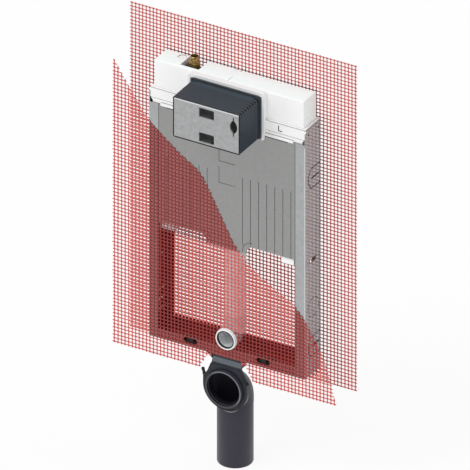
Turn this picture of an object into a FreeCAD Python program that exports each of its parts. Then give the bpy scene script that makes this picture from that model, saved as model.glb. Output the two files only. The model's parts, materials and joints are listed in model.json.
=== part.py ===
import FreeCAD, Part
import math
import os

V = FreeCAD.Vector

# Sizes in mm. X runs to the right, Y from the frame's front plane to the wall behind,
# Z up from the line of the pan's fixing bolts. X = 0 is the middle of the frame.
# On export everything moves so that the origin is on the right side plate.

# Steel frame
frame_width = 440.0
frame_depth = 80.0
sheet = 2.0
frame_bottom = -17.8
frame_top = 640.0
web_rise = 37.0
flange_width = 27.0
bend_radius = 3.0
web_corner = 6.0
half_width = frame_width / 2
web_top = frame_top + web_rise
origin_y = frame_depth / 2
origin_z = 0.0

# Masonry anchors: a tab cut free on three sides, bent out on site
anchor_drop = 107.5
low_anchor_height = 60.0
anchor_heights = (frame_top - anchor_drop, low_anchor_height)
anchor_half_height = 28.0
anchor_front = 17.0
anchor_shoulder = 13.0
anchor_nose_half = 9.5
anchor_rear_margin = 8.0
anchor_rear = frame_depth - anchor_rear_margin
slit = 2.0
anchor_slot_inset = 17.0
anchor_slot_end = 3.0
anchor_slot_front = anchor_front + anchor_slot_inset
anchor_slot_rear = anchor_rear - anchor_slot_end
anchor_slot_height = 3.0

# Other openings in the side plates
oblong_height_z = 302.0
oblong_front = 22.0
oblong_rear = 55.0
oblong_width = 12.0
side_hole_radius = 2.5
side_hole_inset = 11.0
knockout_y = 41.0
knockout_z = 168.0
knockout_radius = 26.0
knockout_slit = 2.4
knockout_angle = 60.0
knockout_bridge = 7.0

# Screws that hold the insulation between the side plates
screw_rise = 22.0
screw_z = frame_top + screw_rise
screw_front = 17.0
screw_rear_inset = 15.0
screw_ys = (screw_front, frame_depth - screw_rear_inset)
screw_radius = 3.1
screw_clearance = 0.3
screw_recess = 0.4

# Front panel
panel_gap = 1.3
panel_half = half_width - flange_width - panel_gap
panel_bottom = 310.5
tab_drop = 21.0
tab_bottom = panel_bottom - tab_drop
tab_half = 56.0
tab_fillet = 15.0
crease_radius = 27.0
lap_inset = 6.0
lap_outer = half_width - lap_inset
lap_inner = half_width - flange_width - lap_inset
lap_margin = 8.0
groove_width = 1.5
groove_depth = 0.7
groove_pitch = 22.75
groove_first_right = 44.1
groove_first_left = 55.4
groove_margin = 8.0
groove_drop = 140.0
groove_top = frame_top - groove_drop
square_side = 45.6
square_depth = 1.2
square_drops = (172.5, 111.7)
square_bottoms = [frame_top - drop for drop in square_drops]

# Bottom rail and what it carries
rail_front_top = 10.0
rail_rear_top = 13.0
rail_end_gap = 0.3
bolt_near = 90.0
bolt_far = 115.0
bolt_middle = (bolt_near + bolt_far) / 2
bolt_radius = 6.0
slot_end = 6.5
slot_length = bolt_far - bolt_near + 2 * slot_end
slot_clearance = 1.0
slot_radius = bolt_radius + slot_clearance
carrier_end = 13.0
carrier_depth = 12.0
carrier_top_gap = 1.0
carrier_top = rail_front_top - carrier_top_gap

# Insulated cistern
cistern_side_gap = 6.0
cistern_half = half_width - sheet - cistern_side_gap
face_gap = 0.5
cistern_front_half = lap_inner - face_gap
lap_clearance = 0.3
cistern_front = 2 * sheet + lap_clearance
cistern_rear = frame_depth - 2 * sheet
cistern_rise = 1.5
cistern_bottom = panel_bottom + cistern_rise
foot_width = 36.5
foot_height = 22.0
foot_front = 5.0
foot_rear = frame_depth - foot_front
band_side_gap = 0.6
band_half = half_width - sheet - band_side_gap
band_front = 3.0
band_back_gap = 0.4
band_rear = frame_depth - sheet - band_back_gap
band_height = 40.0
band_top = frame_top + band_height
band_notch_width = 7.0
band_notch_height = 14.0
band_line_rise = 12.0
band_line = 1.2
mark_x = 144.0
mark_rise = 19.0
mark_height = 14.0
mark_length = 10.0
upper_side_gap = 9.0
upper_half = half_width - upper_side_gap
upper_front = 10.0
upper_rear = frame_depth - upper_front
upper_height = 75.0
cistern_top = band_top + upper_height
upper_edge_radius = 3.0
plug_x = -157.0
plug_y = 55.0
plug_radius = 11.5
plug_depth = 2.0
seam_x = -2.6
seam_width = 1.2
seam_rear = 34.0
seam_depth = 1.0
lip_drop = 3.0
lip_rise = 2.6
lip_proud = 1.6

# Service opening: box, its lip, its cover and the white collar round it
box_half = 94.6
box_drop = 14.0
box_height = 114.0
box_bottom = frame_top - box_drop
box_top = box_bottom + box_height
box_front = -100.0
box_rear = 30.0
box_wall = 3.0
box_corner = 4.0
box_clearance = 0.4
box_lip_side = 5.0
box_lip_below = 4.4
box_lip_above = 3.4
box_lip_half = box_half + box_lip_side
box_lip_thickness = 8.0
ledge_depth = 3.0
ledge_width = 2.0
cover_clearance = 0.3
cover_thickness = 4.0
cover_proud = 1.0
grip_left = -20.7
grip_width = 42.7
grip_height = 26.0
grip_margin_low = 8.0
grip_margin_high = 11.0
grip_corner = 3.0
eye_side_margin = 17.6
eye_margin = 13.0
eye_height = 38.0
eye_width = 21.0
eye_slot_height = 53.0
eye_slot_width = 3.5
collar_side = 8.4
collar_half = box_lip_half + collar_side
collar_drop = 3.0
collar_proud = 5.0
collar_corner = 8.0
collar_clearance = 0.4

# Water connection
valve_x = -117.0
valve_y = 45.0
valve_pocket_half = 26.0
valve_pocket_front = 20.0
valve_pocket_depth = 60.0
valve_pocket_floor = cistern_top - valve_pocket_depth
valve_body_margin = 2.0
valve_body_height = 40.0
valve_body_top = valve_pocket_floor + valve_body_height
nut_flats = 28.0
nut_rise = 3.0
nut_height = 14.0
nut_bottom = valve_body_top + nut_rise
nut_top = nut_bottom + nut_height
tail_radius = 10.5
tail_bore = 7.5
tail_shoulder_width = 4.0
tail_shoulder_height = 11.0
tail_rise = 20.0
tail_top = cistern_top + tail_rise
running_gap = 0.3

# Flush pipe
flush_z = 35.0
pipe_y = 41.0
flush_wall = 6.5
flush_bore = 22.0
flush_bore_length = 11.0
flush_waterway = 21.5
flush_bend_outer = flush_bore + flush_wall
flush_bend_radius = 30.0
flush_bend_rise = 55.0
flush_bend_top = flush_z + flush_bend_rise
sleeve_wall = 4.6
ring_length = 7.6
ring_outer = 29.0
ring_inner = 25.0
seal_clearance = 0.2
seal_thickness = 2.0
seal_length = 5.0
ring_notch_clearance = 1.0
turn_step = 22.5

# Drain
drain_z = -100.0
drain_bend_radius = 46.0
drain_outer = 45.0
drain_wall = 3.0
drain_inner = drain_outer - drain_wall
drain_bend_thicker = 0.6
drain_bend_drop = 60.0
drain_length = 225.0
drain_bend_bottom = drain_z - drain_bend_drop
drain_bottom = drain_z - drain_length
socket_front = -19.0
socket_rear = 8.0
socket_outer = 51.0
socket_fit = 0.4
socket_bore = drain_outer + socket_fit
socket_bore_length = 20.0
drain_seal_inset = 5.0
drain_seal_length = 6.0
drain_seal_depth = 3.6
drain_seal_gap = 0.3
drain_seal_outer = socket_bore + drain_seal_depth
drain_seal_inner = socket_bore + drain_seal_gap
holder_front = -10.0
holder_rear = 4.0
holder_side_margin = 11.0
holder_half = socket_outer + holder_side_margin
holder_side_rise = 23.0
holder_side_top = drain_z + holder_side_rise
holder_shoulder_half = 41.0
holder_shoulder_margin = 9.0
holder_shoulder = drain_z + socket_outer + holder_shoulder_margin
holder_bend_half = 52.0
holder_bend_rise = 31.0
holder_bend = drain_z + holder_bend_rise
neck_height = 7.2
hood_top = frame_bottom - neck_height
hood_front = 2.0
hood_rear = 20.0
hood_lip = -5.0
neck_half = 50.0
neck_rear = 26.0
lever_radius = 3.8
lever_length = 15.0
lever_y = -3.0

# Reinforcement mesh. Its strands run every 10 mm; the solid carries every sixth or so,
# with the same outline, thickness and holes.
mesh_half = 320.0
mesh_thickness = 2.4
mesh_bar = 4.0
mesh_pitch = 64.0
rear_mesh_bottom = -62.0
mesh_rise = 213.0
rear_mesh_top = frame_top + mesh_rise
front_mesh_bottom = -65.0
ring_hole_margin = 1.0
ring_hole_radius = ring_outer + ring_hole_margin
slot_hole_margin = 1.0
notch_top = -19.0
notch_top_left = -51.0
notch_top_right = 56.0
notch_spread = 26.0
cut_points = ((-320, 736), (-279, 672), (-217, 586), (-134, 519), (-76, 480), (-43, 426), (8, 328),
              (30, 295), (87, 243), (188, 182), (244, 112), (282, 32), (309, -65))


def box(x0, x1, y0, y1, z0, z1):
    return Part.makeBox(x1 - x0, y1 - y0, z1 - z0, V(x0, y0, z0))


def prism_xz(points, y0, y1):
    corners = [V(x, y0, z) for x, z in points]
    return Part.Face(Part.makePolygon(corners + corners[:1])).extrude(V(0, y1 - y0, 0))


def prism_yz(points, x0, x1):
    corners = [V(x0, y, z) for y, z in points]
    return Part.Face(Part.makePolygon(corners + corners[:1])).extrude(V(x1 - x0, 0, 0))


def rod(radius, start, direction, length):
    return Part.makeCylinder(radius, length, start, direction)


def rounded_xz(x0, x1, z0, z1, radius, y0, y1):
    body = box(x0, x1, y0, y1, z0, z1)
    upright = [e for e in body.Edges if abs(e.tangentAt(e.FirstParameter).y) > 0.5]
    return body.makeFillet(radius, upright)


def mirrored(shape):
    return shape.mirror(V(0, 0, 0), V(1, 0, 0))


def one_solid(shape):
    solids = sorted(shape.removeSplitter().Solids, key=lambda s: s.Volume)
    return solids[-1]


def slit_outline(inset):
    rear = anchor_rear + (1.0 if inset else 0.0)
    half = anchor_half_height - inset
    front = anchor_front + inset
    nose = anchor_nose_half - inset * 0.4
    shoulder = anchor_front + anchor_shoulder + inset * 0.5
    return [(rear, half), (shoulder, half), (front, nose), (front, -nose), (shoulder, -half), (rear, -half)]


def anchor_cut(height, x0, x1):
    outer = prism_yz([(y, height + z) for y, z in slit_outline(0)], x0, x1)
    inner = prism_yz([(y, height + z) for y, z in slit_outline(slit)], x0, x1)
    half = anchor_slot_height / 2
    slot = box(x0, x1, anchor_slot_front, anchor_slot_rear - slit, height - half, height + half)
    return outer.cut(inner).fuse(slot)


def knockout_cut(x0, x1):
    centre = V(x0, knockout_y, knockout_z)
    ring = rod(knockout_radius + knockout_slit / 2, centre, V(1, 0, 0), x1 - x0)
    ring = ring.cut(rod(knockout_radius - knockout_slit / 2, centre, V(1, 0, 0), x1 - x0))
    reach = knockout_radius + knockout_slit
    for k in range(round(180 / knockout_angle)):
        bar = box(x0, x1, -reach, reach, -knockout_bridge / 2, knockout_bridge / 2)
        bar.rotate(V(0, 0, 0), V(1, 0, 0), knockout_angle * (k + 0.25))
        bar.translate(V(0, knockout_y, knockout_z))
        ring = ring.cut(bar)
    return ring


def oblong_cut(x0, x1):
    r = oblong_width / 2
    cut = box(x0, x1, oblong_front + r, oblong_rear - r, oblong_height_z - r, oblong_height_z + r)
    for y in (oblong_front + r, oblong_rear - r):
        cut = cut.fuse(rod(r, V(x0, y, oblong_height_z), V(1, 0, 0), x1 - x0))
    return cut


def side_channel():
    outer = half_width
    web = box(outer - sheet, outer, 0, frame_depth, frame_bottom, web_top)
    front = box(outer - flange_width, outer, 0, sheet, frame_bottom, web_top)
    rear = box(outer - flange_width, outer, frame_depth - sheet, frame_depth, frame_bottom, web_top)
    body = web.fuse([front, rear]).removeSplitter()
    corners = [e for e in body.Edges if abs(e.BoundBox.XMin - outer) < 0.01 and e.BoundBox.ZLength > 1]
    body = body.makeFillet(bend_radius, corners)
    body = body.cut(box(0, outer + 1, -1, sheet, frame_top, web_top + 1))
    corner = [(sheet - 1, web_top - web_corner), (sheet + web_corner, web_top + 1), (sheet - 1, web_top + 1)]
    body = body.cut(prism_yz(corner, 0, outer + 1))
    x0, x1 = outer - sheet - 1, outer + 1
    cuts = [anchor_cut(height, x0, x1) for height in anchor_heights]
    cuts += [knockout_cut(x0, x1), oblong_cut(x0, x1)]
    for y in (side_hole_inset, frame_depth - side_hole_inset):
        cuts.append(rod(side_hole_radius, V(x0, y, oblong_height_z), V(1, 0, 0), x1 - x0))
    for y in screw_ys:
        cuts.append(rod(screw_radius + screw_clearance, V(x0, y, screw_z), V(1, 0, 0), x1 - x0))
    return one_solid(body.cut(cuts))


def insulation_screws():
    length = half_width - screw_recess - band_half
    screws = []
    for y in screw_ys:
        screw = rod(screw_radius, V(band_half, y, screw_z), V(1, 0, 0), length)
        screws += [screw, mirrored(screw)]
    return Part.makeCompound(screws)


def panel_outline():
    half = panel_half
    turn = tab_half + tab_fillet
    low = panel_bottom - tab_fillet
    s = tab_fillet * math.sqrt(0.5)
    right = [V(half, 0, frame_top), V(half, 0, panel_bottom), V(turn, 0, panel_bottom),
             V(turn - s, 0, low + s), V(tab_half, 0, low), V(tab_half, 0, tab_bottom)]
    left = [V(-p.x, 0, p.z) for p in right]
    edges = []
    for side in (right, left):
        edges += [Part.makeLine(side[0], side[1]), Part.makeLine(side[1], side[2]),
                  Part.Arc(side[2], side[3], side[4]).toShape(), Part.makeLine(side[4], side[5])]
    edges += [Part.makeLine(right[0], left[0]), Part.makeLine(right[5], left[5])]
    return Part.Wire(Part.__sortEdges__(edges))


def panel_grooves():
    grooves = []
    for side, first in ((1, groove_first_right), (-1, groove_first_left)):
        count = int((panel_half - groove_margin - first) / groove_pitch) + 1
        for k in range(count):
            x = side * (first + groove_pitch * k)
            grooves.append(box(x - groove_width / 2, x + groove_width / 2, -1, groove_depth,
                               panel_bottom - 1, groove_top))
    half = square_side / 2
    grooves += [box(-half, half, -1, square_depth, bottom, bottom + square_side) for bottom in square_bottoms]
    turn = tab_half + tab_fillet
    low = panel_bottom - tab_fillet
    quarter = box(turn - crease_radius - 1, turn, -1, groove_depth, low, low + crease_radius + 1)
    arc = rod(crease_radius + groove_width / 2, V(turn, -1, low), V(0, 1, 0), 1 + groove_depth)
    arc = arc.cut(rod(crease_radius - groove_width / 2, V(turn, -1, low), V(0, 1, 0), 1 + groove_depth))
    arc = arc.common(quarter)
    edge = turn - crease_radius
    drop = box(edge - groove_width / 2, edge + groove_width / 2, -1, groove_depth, tab_bottom - 1, low)
    crease = arc.fuse(drop)
    return grooves + [crease, mirrored(crease)]


def front_panel():
    plate = Part.Face(panel_outline()).extrude(V(0, sheet, 0))
    lap = box(lap_inner, lap_outer, sheet, 2 * sheet, panel_bottom + lap_margin, frame_top - lap_margin)
    plate = plate.fuse([lap, mirrored(lap)])
    notch = box(-box_half - box_clearance, box_half + box_clearance, -1, 3 * sheet,
                box_bottom - box_clearance, frame_top + 1)
    return one_solid(plate.cut([notch] + panel_grooves()))


def bottom_rail():
    flush_half = half_width - flange_width - rail_end_gap
    full_half = half_width - sheet
    front = box(-flush_half, flush_half, 0, sheet, frame_bottom, rail_front_top)
    floor = box(-full_half, full_half, sheet, frame_depth - sheet, frame_bottom, frame_bottom + sheet)
    rear = box(-flush_half, flush_half, frame_depth - sheet, frame_depth, frame_bottom, rail_rear_top)
    body = front.fuse([floor, rear])
    cuts = [rod(ring_outer + ring_notch_clearance, V(0, -1, flush_z), V(0, 1, 0), sheet + 2)]
    reach = slot_length / 2 - slot_radius
    for x in (-bolt_middle, bolt_middle):
        cuts.append(box(x - reach, x + reach, -1, sheet + 1, -slot_radius, slot_radius))
        cuts += [rod(slot_radius, V(x + d, -1, 0), V(0, 1, 0), sheet + 2) for d in (-reach, reach)]
    return one_solid(body.cut(cuts))


def bolt_carrier():
    body = box(bolt_near - carrier_end, bolt_far + carrier_end, sheet, sheet + carrier_depth,
               frame_bottom + sheet, carrier_top)
    bores = [rod(bolt_radius, V(x, 0, 0), V(0, 1, 0), 2 * sheet + carrier_depth) for x in (bolt_near, bolt_far)]
    return body.cut(bores)


def service_pocket(y0, z0, z1):
    half = box_half + box_clearance
    return box(-half, half, y0 - 1, box_rear, z0, z1)


def cistern_body():
    main = box(-cistern_half, cistern_half, cistern_front, cistern_rear, cistern_bottom, frame_top)
    face = box(-cistern_front_half, cistern_front_half, sheet, cistern_front, cistern_bottom, frame_top)
    pocket = service_pocket(sheet, box_bottom - box_clearance, frame_top + 1)
    return one_solid(main.fuse(face).cut(pocket))


def cistern_foot():
    return box(cistern_front_half - foot_width, cistern_front_half, foot_front, foot_rear,
               cistern_bottom - foot_height, cistern_bottom)


def insulation_band():
    n, h = band_notch_width, band_notch_height
    outline = [(-band_half, band_top), (band_half, band_top), (band_half, frame_top + h),
               (band_half - n, frame_top + h / 3), (band_half - n, frame_top), (-band_half + n, frame_top),
               (-band_half + n, frame_top + h / 3), (-band_half, frame_top + h)]
    body = prism_xz(outline, band_front, band_rear)
    cuts = [service_pocket(band_front, frame_top - 1, band_top + 1)]
    w = band_line / 2
    line_z, mark_z = frame_top + band_line_rise, frame_top + mark_rise
    y0, y1 = band_front - 1, band_front + groove_depth
    line = box(collar_half, band_half + 1, y0, y1, line_z - w, line_z + w)
    cuts += [line, mirrored(line), box(mark_x - w, mark_x + w, y0, y1, mark_z - w, mark_z + mark_height),
             box(mark_x, mark_x + mark_length, y0, y1, mark_z - w, mark_z + w)]
    return one_solid(body.cut(cuts))


def upper_insulation():
    body = box(-upper_half, upper_half, upper_front, upper_rear, band_top, cistern_top)
    rim = [e for e in body.Edges if e.BoundBox.ZMin > cistern_top - 0.01]
    rim += [e for e in body.Edges if e.BoundBox.ZLength > 1 and e.BoundBox.YMax < upper_front + 0.01]
    body = body.makeFillet(upper_edge_radius, rim)
    pocket = service_pocket(upper_front, band_top - 1, box_top + box_clearance)
    valve = box(valve_x - valve_pocket_half, valve_x + valve_pocket_half, valve_pocket_front, upper_rear + 1,
                valve_pocket_floor, cistern_top + 1)
    plug = rod(plug_radius, V(plug_x, plug_y, cistern_top - plug_depth), V(0, 0, 1), plug_depth + 1)
    w = seam_width / 2
    seam = box(seam_x - w, seam_x + w, upper_front - 1, seam_rear, cistern_top - seam_depth, cistern_top + 1)
    return one_solid(body.cut([pocket, valve, plug, seam]))


def insulation_lip():
    x0, x1 = collar_half + running_gap, lap_inner
    front = box(x0, x1, -lip_proud, 0, frame_top - lip_drop, frame_top + lip_rise)
    back = box(x0, x1, 0, band_front, frame_top, frame_top + lip_rise)
    return one_solid(front.fuse(back))


def service_collar():
    bottom = box_bottom - collar_drop
    outer = rounded_xz(-collar_half, collar_half, bottom, cistern_top, collar_corner, -collar_proud, 0)
    over_band = box(-collar_half, collar_half, 0, band_front, frame_top, band_top)
    over_top = box(-collar_half, collar_half, 0, upper_front, band_top, cistern_top)
    rounding = rounded_xz(-collar_half, collar_half, bottom, cistern_top, collar_corner,
                          -collar_proud, upper_front)
    gap = box_lip_half + collar_clearance
    inside = box(-gap, gap, -collar_proud - 1, upper_front + 1, bottom - 1,
                 box_top + box_lip_above + collar_clearance)
    return one_solid(outer.fuse([over_band, over_top]).common(rounding).cut(inside))


def service_box():
    body = rounded_xz(-box_half, box_half, box_bottom, box_top, box_corner, box_front, box_rear)
    lip = rounded_xz(-box_lip_half, box_lip_half, box_bottom - box_lip_below, box_top + box_lip_above,
                     box_corner, -box_lip_thickness, 0)
    w = box_wall
    hollow = box(-box_half + w, box_half - w, box_front - 1, box_rear + 1, box_bottom + w, box_top - w)
    floor_y = box_front - cover_proud + cover_thickness
    ledge = box(-box_half + w, box_half - w, floor_y, floor_y + ledge_depth, box_bottom + w, box_top - w)
    n = w + ledge_width
    ledge = ledge.cut(box(-box_half + n, box_half - n, floor_y - 1, floor_y + ledge_depth + 1,
                          box_bottom + n, box_top - n))
    return one_solid(body.fuse(lip).cut(hollow).fuse(ledge))


def eye_cut(y0, y1):
    x, top = box_half - eye_side_margin, box_top - eye_margin
    middle = top - eye_slot_height / 2
    ends = V(x, y0, middle - eye_height / 2), V(x, y0, middle + eye_height / 2)
    sides = [Part.Arc(ends[0], V(x + d, y0, middle), ends[1]).toShape()
             for d in (-eye_width / 2, eye_width / 2)]
    lens = Part.Face(Part.Wire(sides)).extrude(V(0, y1 - y0, 0))
    half = eye_slot_width / 2
    return lens.fuse(box(x - half, x + half, y0, y1, top - eye_slot_height, top))


def service_box_cover():
    inset = box_wall + cover_clearance
    y0 = box_front - cover_proud
    y1 = y0 + cover_thickness
    plate = box(-box_half + inset, box_half - inset, y0, y1, box_bottom + inset, box_top - inset)
    cuts = [rounded_xz(grip_left, grip_left + grip_width, z, z + grip_height, grip_corner, y0 - 1, y1 + 1)
            for z in (box_bottom + grip_margin_low, box_top - grip_margin_high - grip_height)]
    return one_solid(plate.cut(cuts + [eye_cut(y0 - 1, y1 + 1)]))


def stop_valve_body():
    half = valve_pocket_half - valve_body_margin
    return box(valve_x - half, valve_x + half, valve_pocket_front + valve_body_margin,
               upper_rear - valve_body_margin, valve_pocket_floor, valve_body_top)


def union_nut():
    reach = nut_flats / math.sqrt(3)
    corners = [V(valve_x + reach * math.cos(math.radians(60 * k)),
                 valve_y + reach * math.sin(math.radians(60 * k)), nut_bottom) for k in range(6)]
    body = Part.Face(Part.makePolygon(corners + corners[:1])).extrude(V(0, 0, nut_height))
    return body.cut(rod(tail_radius + running_gap, V(valve_x, valve_y, nut_bottom - 1), V(0, 0, 1),
                        nut_height + 2))


def valve_tail():
    wide = tail_radius + tail_shoulder_width
    shoulder = nut_top + tail_shoulder_height
    profile = [(tail_bore, valve_body_top), (tail_radius, valve_body_top), (tail_radius, nut_top),
               (wide, nut_top), (wide, shoulder), (tail_radius, shoulder),
               (tail_radius, tail_top), (tail_bore, tail_top)]
    corners = [V(valve_x + r, valve_y, z) for r, z in profile]
    face = Part.Face(Part.makePolygon(corners + corners[:1]))
    return face.revolve(V(valve_x, valve_y, 0), V(0, 0, 1), 360)


def bend_path(front_y, axis_z, turn_radius, end_z):
    """A level run, a quarter turn and an upright run; the turn's straight lengths touch its arc."""
    up = 1 if end_z > axis_z else -1
    mitres = round(90 / turn_step)
    step = math.radians(90) / mitres
    reach = turn_radius / math.cos(step / 2)
    points = [V(0, front_y, axis_z)]
    for k in range(mitres):
        angle = step * (k + 0.5)
        points.append(V(0, pipe_y - turn_radius + reach * math.sin(angle),
                        axis_z + up * (turn_radius - reach * math.cos(angle))))
    return points + [V(0, pipe_y, end_z)]


def bend(radius, front_y, axis_z, turn_radius, end_z):
    path = bend_path(front_y, axis_z, turn_radius, end_z)
    circle = Part.makeCircle(radius, path[0], V(0, 1, 0))
    return Part.makePolygon(path).makePipeShell([Part.Wire(circle)], True, False, 1)


def flush_bend():
    outer = bend(flush_bend_outer, 0, flush_z, flush_bend_radius, flush_bend_top)
    inner = bend(flush_waterway, -1, flush_z, flush_bend_radius, flush_bend_top + 1)
    bore = rod(flush_bore, V(0, -1, flush_z), V(0, 1, 0), flush_bore_length + 1)
    return one_solid(outer.cut([inner, bore]))


def tube(outer, inner, start, direction, length):
    return rod(outer, start, direction, length).cut(rod(inner, start, direction, length))


def flush_pipe_sleeve():
    return tube(flush_bore + sleeve_wall, flush_bore, V(0, pipe_y, flush_bend_top), V(0, 0, 1),
                cistern_bottom - flush_bend_top)


def flush_outlet_ring():
    return tube(ring_outer, ring_inner, V(0, -ring_length, flush_z), V(0, 1, 0), ring_length)


def flush_seal():
    outer = ring_inner - seal_clearance
    return tube(outer, outer - seal_thickness, V(0, -seal_length, flush_z), V(0, 1, 0), seal_length)


def drain_bend():
    y = V(0, 1, 0)
    outer = bend(drain_outer + drain_bend_thicker, socket_front, drain_z, drain_bend_radius, drain_bend_bottom)
    spigot = rod(drain_outer, V(0, pipe_y, drain_bend_bottom), V(0, 0, -1), drain_bend_bottom - drain_bottom)
    socket = rod(socket_outer, V(0, socket_front, drain_z), y, socket_rear - socket_front)
    inner = bend(drain_inner, socket_front - 1, drain_z, drain_bend_radius, drain_bottom - 1)
    bore = rod(socket_bore, V(0, socket_front, drain_z), y, socket_bore_length)
    groove = rod(drain_seal_outer, V(0, socket_front + drain_seal_inset, drain_z), y, drain_seal_length)
    return one_solid(outer.fuse([spigot, socket]).cut([inner, bore, groove]))


def drain_seal():
    return tube(drain_seal_outer, drain_seal_inner, V(0, socket_front + drain_seal_inset, drain_z),
                V(0, 1, 0), drain_seal_length)


def drain_holder():
    right = [(holder_shoulder_half, holder_shoulder), (holder_bend_half, holder_bend),
             (holder_half, holder_side_top), (holder_half, drain_z)]
    outline = right + [(-x, z) for x, z in reversed(right)]
    round_half = rod(holder_half, V(0, holder_front, drain_z), V(0, 1, 0), holder_rear - holder_front)
    body = prism_xz(outline, holder_front, holder_rear).fuse(round_half)
    hood = prism_yz([(hood_lip, holder_shoulder), (hood_front, hood_top),
                     (hood_rear, hood_top), (hood_rear, holder_shoulder)],
                    -holder_shoulder_half, holder_shoulder_half)
    neck = box(-neck_half, neck_half, hood_front, neck_rear, hood_top, frame_bottom)
    seat = rod(socket_outer + running_gap, V(0, holder_front - 1, drain_z), V(0, 1, 0),
               holder_rear - holder_front + 2)
    pipe = rod(drain_outer + drain_bend_thicker + running_gap, V(0, pipe_y, drain_z), V(0, 0, -1),
               drain_length)
    return one_solid(body.fuse([hood, neck]).cut([seat, pipe]))


def holder_lever():
    return rod(lever_radius, V(-holder_half - lever_radius, lever_y, holder_side_top), V(0, 0, 1),
               lever_length)


def lattice_cells(x0, x1, z0, z1, y):
    half = mesh_bar / 2
    columns = round((x1 - x0 - mesh_bar) / mesh_pitch)
    rows = round((z1 - z0 - mesh_bar) / mesh_pitch)
    across = (x1 - x0 - mesh_bar) / columns
    up = (z1 - z0 - mesh_bar) / rows
    cells = []
    for i in range(columns):
        for k in range(rows):
            a = x0 + half + across * i + half
            c = z0 + half + up * k + half
            b, d = a + across - mesh_bar, c + up - mesh_bar
            corners = [V(a, y, c), V(b, y, c), V(b, y, d), V(a, y, d)]
            cells.append(Part.Face(Part.makePolygon(corners + corners[:1])))
    return cells


def largest_face(shape):
    return sorted(shape.Faces, key=lambda f: f.Area)[-1]


def outline_face(points, y):
    corners = [V(x, y, z) for x, z in points]
    return Part.Face(Part.makePolygon(corners + corners[:1]))


def rear_mesh():
    y = frame_depth
    corners = [(-mesh_half, rear_mesh_bottom), (mesh_half, rear_mesh_bottom),
               (mesh_half, rear_mesh_top), (-mesh_half, rear_mesh_top)]
    cells = lattice_cells(-mesh_half, mesh_half, rear_mesh_bottom, rear_mesh_top, y)
    return largest_face(outline_face(corners, y).cut(cells)).extrude(V(0, mesh_thickness, 0))


def cut_line():
    curve = Part.BSplineCurve()
    curve.interpolate([V(x, 0, z) for x, z in cut_points])
    return [(p.x, p.z) for p in curve.toShape().discretize(30)]


def front_mesh():
    y = -mesh_thickness
    left, right = notch_top_left, notch_top_right
    outline = cut_line() + [(right + notch_spread, front_mesh_bottom), (right, notch_top), (left, notch_top),
                            (left - notch_spread, front_mesh_bottom), (-mesh_half, front_mesh_bottom)]
    cells = lattice_cells(-mesh_half, mesh_half, front_mesh_bottom, rear_mesh_top, y)
    half = slot_length / 2 + slot_hole_margin
    up = slot_radius + slot_hole_margin
    holes = [Part.Face(Part.Wire(Part.makeCircle(ring_hole_radius, V(0, y, flush_z), V(0, 1, 0))))]
    for x in (-bolt_middle, bolt_middle):
        holes.append(outline_face([(x - half, -up), (x + half, -up), (x + half, up), (x - half, up)], y))
    face = outline_face(outline, y).cut(cells).cut(holes)
    return largest_face(face).extrude(V(0, mesh_thickness, 0))


def save(name, shape):
    shape.translate(V(-half_width, -origin_y, -origin_z))
    shape.exportStep("parts/" + name + ".step")
    print(name, len(shape.Solids), round(shape.Volume / 1000, 1), "cm3", shape.isValid())


def build():
    os.makedirs("parts", exist_ok=True)
    for name, maker in (("side_channel", side_channel), ("bolt_carrier", bolt_carrier),
                        ("cistern_foot", cistern_foot), ("insulation_lip", insulation_lip)):
        shape = maker()
        save("left_" + name, mirrored(shape))
        save("right_" + name, shape)
    for maker in (insulation_screws, front_panel, bottom_rail, cistern_body, insulation_band,
                  upper_insulation, service_collar, service_box, service_box_cover, stop_valve_body,
                  union_nut, valve_tail, flush_bend, flush_pipe_sleeve, flush_outlet_ring, flush_seal,
                  drain_bend, drain_seal, drain_holder, holder_lever, rear_mesh, front_mesh):
        save(maker.__name__, maker())


build()
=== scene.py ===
import json
import math

import bmesh
import bpy
import numpy as np
from mathutils import Matrix, Vector


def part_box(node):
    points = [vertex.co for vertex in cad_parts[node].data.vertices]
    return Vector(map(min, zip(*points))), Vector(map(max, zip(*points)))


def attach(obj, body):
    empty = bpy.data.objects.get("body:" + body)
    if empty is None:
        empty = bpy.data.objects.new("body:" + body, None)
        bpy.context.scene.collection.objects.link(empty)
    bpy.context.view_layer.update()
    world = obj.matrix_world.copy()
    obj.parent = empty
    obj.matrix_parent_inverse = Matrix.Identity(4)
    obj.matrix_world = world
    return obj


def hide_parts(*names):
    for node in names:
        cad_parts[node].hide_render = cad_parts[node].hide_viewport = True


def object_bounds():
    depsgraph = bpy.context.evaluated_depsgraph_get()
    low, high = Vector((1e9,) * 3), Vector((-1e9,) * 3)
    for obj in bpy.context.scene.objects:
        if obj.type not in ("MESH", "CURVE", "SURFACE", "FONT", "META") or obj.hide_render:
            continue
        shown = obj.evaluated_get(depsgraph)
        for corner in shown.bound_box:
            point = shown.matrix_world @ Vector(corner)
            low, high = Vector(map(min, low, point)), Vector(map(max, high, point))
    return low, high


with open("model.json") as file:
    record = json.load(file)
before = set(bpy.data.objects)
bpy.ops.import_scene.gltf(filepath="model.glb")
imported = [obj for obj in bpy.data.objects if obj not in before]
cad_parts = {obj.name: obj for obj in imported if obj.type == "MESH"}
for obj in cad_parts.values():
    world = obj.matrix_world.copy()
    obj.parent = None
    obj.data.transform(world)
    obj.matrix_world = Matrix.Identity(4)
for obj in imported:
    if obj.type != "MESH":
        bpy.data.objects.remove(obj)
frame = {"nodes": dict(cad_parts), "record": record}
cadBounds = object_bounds()
nodes = frame["nodes"]
slotOf = {part["node"]: part["material_slot"] for part in frame["record"]["subparts"]}

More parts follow.
